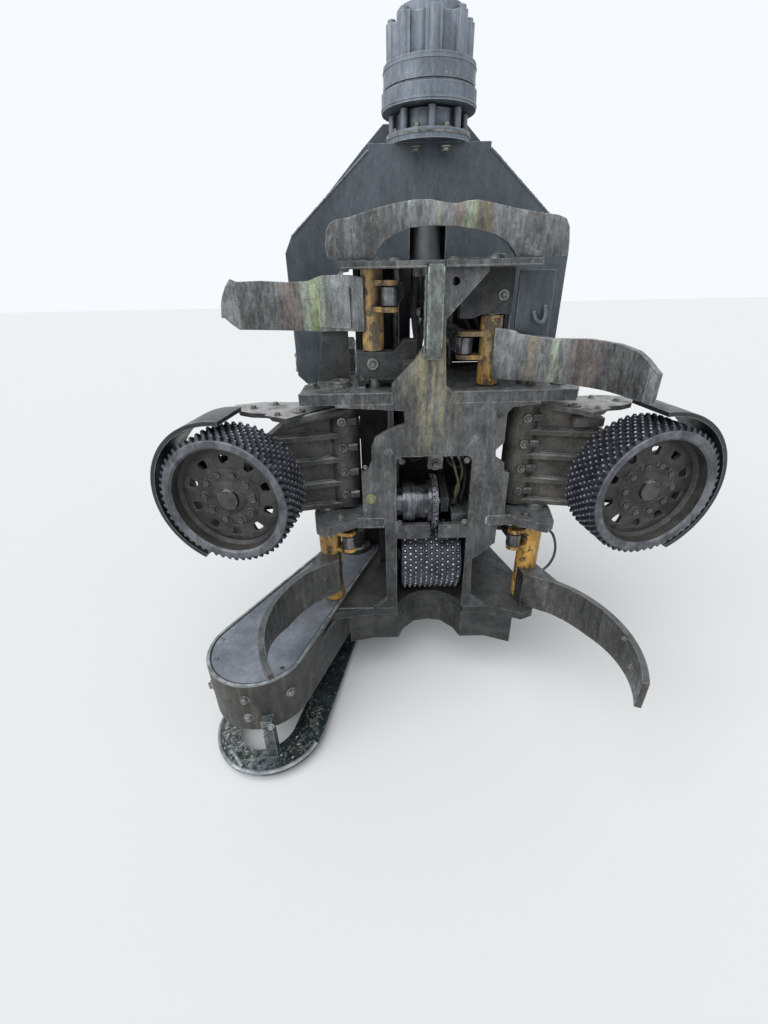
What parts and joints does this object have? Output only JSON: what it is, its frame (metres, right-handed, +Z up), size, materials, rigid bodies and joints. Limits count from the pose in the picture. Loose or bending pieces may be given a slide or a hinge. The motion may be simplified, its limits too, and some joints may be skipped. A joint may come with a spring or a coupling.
{
  "type": "tree harvester processing head",
  "caption": "Hanging tree harvester head with rotator, tilt frame, curved delimbing knives, studded feed rollers, measuring wheel and swing-out saw.",
  "frame": {"origin": "middle of the link pin's bore at the top of the rotator", "axes": "+Z up along the rotator's axis, +X along the link pin, +Y from the open side of the head to its back"},
  "size_m": [1.7238, 1.1914, 2.192],
  "materials": {
    "worn_steel": "grey-black paint worn to grey-green steel, streaked",
    "dark_paint": "dark blue-grey paint with rubbed edges",
    "bare_steel": "bare knife steel with brown and green stains",
    "orange_paint": "orange-yellow paint, chipped and rusty",
    "cast_steel": "dark cast steel, dusty",
    "roller_steel": "dark studded steel with bright stud tips",
    "black_paint": "black paint",
    "pin_steel": "ground steel",
    "chrome_rod": "hard chrome",
    "wheel_steel": "scuffed bright steel",
    "rotator_paint": "mid blue-grey paint"
  },
  "bodies": {
    "crane_link": {"rotator_housing": "rotator_paint", "rotator_lug": "rotator_paint"},
    "tilt_body": {"rotor_flange": "rotator_paint", "tilt_frame": "dark_paint", "tilt_pins": "pin_steel"},
    "head": {"main_plate": "worn_steel", "spine_bar": "worn_steel", "shelf_plate": "worn_steel", "top_knife": "bare_steel", "wing_plate": "worn_steel", "lower_wing": "worn_steel", "base_plate": "worn_steel", "base_skirt": "worn_steel", "frame_box": "worn_steel", "upper_box": "worn_steel", "head_lugs": "worn_steel", "hinge_pins": "pin_steel", "saw_box": "dark_paint", "saw_guard": "dark_paint", "saw_motor": "cast_steel", "valve_block": "cast_steel", "rear_hood": "dark_paint", "roller_mount": "cast_steel", "wheel_arm": "cast_steel"},
    "saw": {"saw_bar": "bare_steel"},
    "frame_roller_body": {"frame_roller": "roller_steel"},
    "measuring_wheel_body": {"measuring_wheel": "wheel_steel"},
    "upper_left_knife_body": {"upper_left_hub": "orange_paint", "upper_left_blade": "bare_steel"},
    "upper_right_knife_body": {"upper_right_hub": "orange_paint", "upper_right_blade": "bare_steel"},
    "lower_left_knife_body": {"lower_left_hub": "orange_paint", "lower_left_blade": "bare_steel"},
    "lower_right_knife_body": {"lower_right_hub": "orange_paint", "lower_right_blade": "bare_steel"},
    "arm_left": {"feed_arm_left": "cast_steel", "feed_motor_left": "cast_steel", "roller_guard_left": "black_paint"},
    "arm_right": {"feed_arm_right": "cast_steel", "feed_motor_right": "cast_steel", "roller_guard_right": "black_paint"},
    "roller_left": {"feed_roller_left": "roller_steel"},
    "roller_right": {"feed_roller_right": "roller_steel"},
    "tilt_barrel_body": {"tilt_barrel": "black_paint"},
    "tilt_rod_body": {"tilt_rod": "chrome_rod"},
    "upper_left_barrel_body": {"upper_left_barrel": "black_paint"},
    "upper_left_rod_body": {"upper_left_rod": "chrome_rod"},
    "upper_right_barrel_body": {"upper_right_barrel": "black_paint"},
    "upper_right_rod_body": {"upper_right_rod": "chrome_rod"},
    "lower_left_barrel_body": {"lower_left_barrel": "black_paint"},
    "lower_left_rod_body": {"lower_left_rod": "chrome_rod"},
    "lower_right_barrel_body": {"lower_right_barrel": "black_paint"},
    "lower_right_rod_body": {"lower_right_rod": "chrome_rod"},
    "feed_left_barrel_body": {"feed_left_barrel": "black_paint"},
    "feed_left_rod_body": {"feed_left_rod": "chrome_rod"},
    "feed_right_barrel_body": {"feed_right_barrel": "black_paint"},
    "feed_right_rod_body": {"feed_right_rod": "chrome_rod"}
  },
  "joints": [
    {"name": "rotator_spin", "type": "hinge", "parent": "crane_link", "child": "tilt_body", "pos_m": [0, 0, -0.303], "axis": [0, 0, 1], "continuous": true},
    {"name": "tilt", "type": "hinge", "parent": "tilt_body", "child": "head", "pos_m": [0, 0.03, -1.04], "axis": [1, 0, 0], "range_deg": [0, 90]},
    {"name": "upper_left_knife", "type": "hinge", "parent": "head", "child": "upper_left_knife_body", "pos_m": [-0.185, -0.42, -0.88], "axis": [0, 0, 1], "range_deg": [0, 130]},
    {"name": "upper_right_knife", "type": "hinge", "parent": "head", "child": "upper_right_knife_body", "pos_m": [0.158, -0.42, -0.88], "axis": [0, 0, -1], "range_deg": [-55, 75]},
    {"name": "lower_left_knife", "type": "hinge", "parent": "head", "child": "lower_left_knife_body", "pos_m": [-0.358, -0.45, -1.65], "axis": [0, 0, 1], "range_deg": [-25, 58]},
    {"name": "lower_right_knife", "type": "hinge", "parent": "head", "child": "lower_right_knife_body", "pos_m": [0.355, -0.45, -1.65], "axis": [0, 0, -1], "range_deg": [-19, 64]},
    {"name": "feed_arm_left", "type": "hinge", "parent": "head", "child": "arm_left", "pos_m": [-0.29, -0.4, -1.265], "axis": [0, 0, 1], "range_deg": [0, 75]},
    {"name": "feed_roller_left_spin", "type": "hinge", "parent": "arm_left", "child": "roller_left", "pos_m": [-0.617, -0.58, -1.315], "axis": [-0.1736, -0.9848, 0], "continuous": true},
    {"name": "feed_arm_right", "type": "hinge", "parent": "head", "child": "arm_right", "pos_m": [0.29, -0.4, -1.265], "axis": [0, 0, -1], "range_deg": [0, 75]},
    {"name": "feed_roller_right_spin", "type": "hinge", "parent": "arm_right", "child": "roller_right", "pos_m": [0.617, -0.58, -1.315], "axis": [0.1736, -0.9848, 0], "continuous": true},
    {"name": "frame_roller_spin", "type": "hinge", "parent": "head", "child": "frame_roller_body", "pos_m": [0, -0.4, -1.667], "axis": [1, 0, 0], "continuous": true},
    {"name": "measuring_wheel_spin", "type": "hinge", "parent": "head", "child": "measuring_wheel_body", "pos_m": [0, -0.44, -1.43], "axis": [1, 0, 0], "continuous": true},
    {"name": "saw_swing", "type": "hinge", "parent": "head", "child": "saw", "pos_m": [-0.3, -0.11, -2.07], "axis": [0, 0, 1], "range_deg": [0, 78]},
    {"name": "upper_left_ram_swing", "type": "hinge", "parent": "head", "child": "upper_left_barrel_body", "pos_m": [-0.11, -0.09, -0.788], "axis": [0, 0, 1], "range_deg": [-1, 6.5]},
    {"name": "upper_left_ram_slide", "type": "slide", "parent": "upper_left_barrel_body", "child": "upper_left_rod_body", "axis": [-0.069, -0.9976, 0], "range_m": [-0.1299, 0.004]},
    {"name": "upper_right_ram_swing", "type": "hinge", "parent": "head", "child": "upper_right_barrel_body", "pos_m": [0.086, -0.09, -0.926], "axis": [0, 0, 1], "range_deg": [-2.7, 3.32]},
    {"name": "upper_right_ram_slide", "type": "slide", "parent": "upper_right_barrel_body", "child": "upper_right_rod_body", "axis": [-0.0084, -1, 0], "range_m": [-0.0668, 0.0501]},
    {"name": "lower_left_ram_swing", "type": "hinge", "parent": "head", "child": "lower_left_barrel_body", "pos_m": [-0.24, -0.13, -1.56], "axis": [0, 0, 1], "range_deg": [-2.99, 1.86]},
    {"name": "lower_left_ram_slide", "type": "slide", "parent": "lower_left_barrel_body", "child": "lower_left_rod_body", "axis": [-0.1362, -0.9907, 0], "range_m": [-0.076, 0.035]},
    {"name": "lower_right_ram_swing", "type": "hinge", "parent": "head", "child": "lower_right_barrel_body", "pos_m": [0.24, -0.13, -1.56], "axis": [0, 0, 1], "range_deg": [-1.45, 2.51]},
    {"name": "lower_right_ram_slide", "type": "slide", "parent": "lower_right_barrel_body", "child": "lower_right_rod_body", "axis": [0.1337, -0.991, 0], "range_m": [-0.0838, 0.0277]},
    {"name": "feed_left_ram_swing", "type": "hinge", "parent": "head", "child": "feed_left_barrel_body", "pos_m": [-0.215, -0.075, -1.265], "axis": [0, 0, 1], "range_deg": [-2.01, 1]},
    {"name": "feed_left_ram_slide", "type": "slide", "parent": "feed_left_barrel_body", "child": "feed_left_rod_body", "axis": [-0.4925, -0.8703, 0], "range_m": [-0.004, 0.1408]},
    {"name": "feed_right_ram_swing", "type": "hinge", "parent": "head", "child": "feed_right_barrel_body", "pos_m": [0.215, -0.075, -1.265], "axis": [0, 0, 1], "range_deg": [-1, 2.01]},
    {"name": "feed_right_ram_slide", "type": "slide", "parent": "feed_right_barrel_body", "child": "feed_right_rod_body", "axis": [0.4925, -0.8703, 0], "range_m": [-0.004, 0.1408]},
    {"name": "tilt_ram_swing", "type": "hinge", "parent": "tilt_body", "child": "tilt_barrel_body", "pos_m": [0, 0.03, -0.48], "axis": [1, 0, 0], "range_deg": [-1, 9.77]},
    {"name": "tilt_ram_slide", "type": "slide", "parent": "tilt_barrel_body", "child": "tilt_rod_body", "axis": [0, -0.3939, -0.9191], "range_m": [-0.004, 0.326]}
  ],
  "couplings": [
    {"joint": "upper_left_ram_swing", "follows": "upper_left_knife", "ratio": 0.0423},
    {"joint": "upper_left_ram_slide", "follows": "upper_left_knife", "m_per_rad": -0.0555},
    {"joint": "upper_right_ram_swing", "follows": "upper_right_knife", "ratio": 0.0309},
    {"joint": "upper_right_ram_slide", "follows": "upper_right_knife", "m_per_rad": -0.048},
    {"joint": "lower_left_ram_swing", "follows": "lower_left_knife", "ratio": -0.0343},
    {"joint": "lower_left_ram_slide", "follows": "lower_left_knife", "m_per_rad": -0.0711},
    {"joint": "lower_right_ram_swing", "follows": "lower_right_knife", "ratio": 0.0236},
    {"joint": "lower_right_ram_slide", "follows": "lower_right_knife", "m_per_rad": -0.0714},
    {"joint": "feed_left_ram_swing", "follows": "feed_arm_left", "ratio": -0.0135},
    {"joint": "feed_left_ram_slide", "follows": "feed_arm_left", "m_per_rad": 0.1045},
    {"joint": "feed_right_ram_swing", "follows": "feed_arm_right", "ratio": 0.0135},
    {"joint": "feed_right_ram_slide", "follows": "feed_arm_right", "m_per_rad": 0.1045},
    {"joint": "tilt_ram_swing", "follows": "tilt", "ratio": 0.0974},
    {"joint": "tilt_ram_slide", "follows": "tilt", "m_per_rad": 0.205}
  ]
}
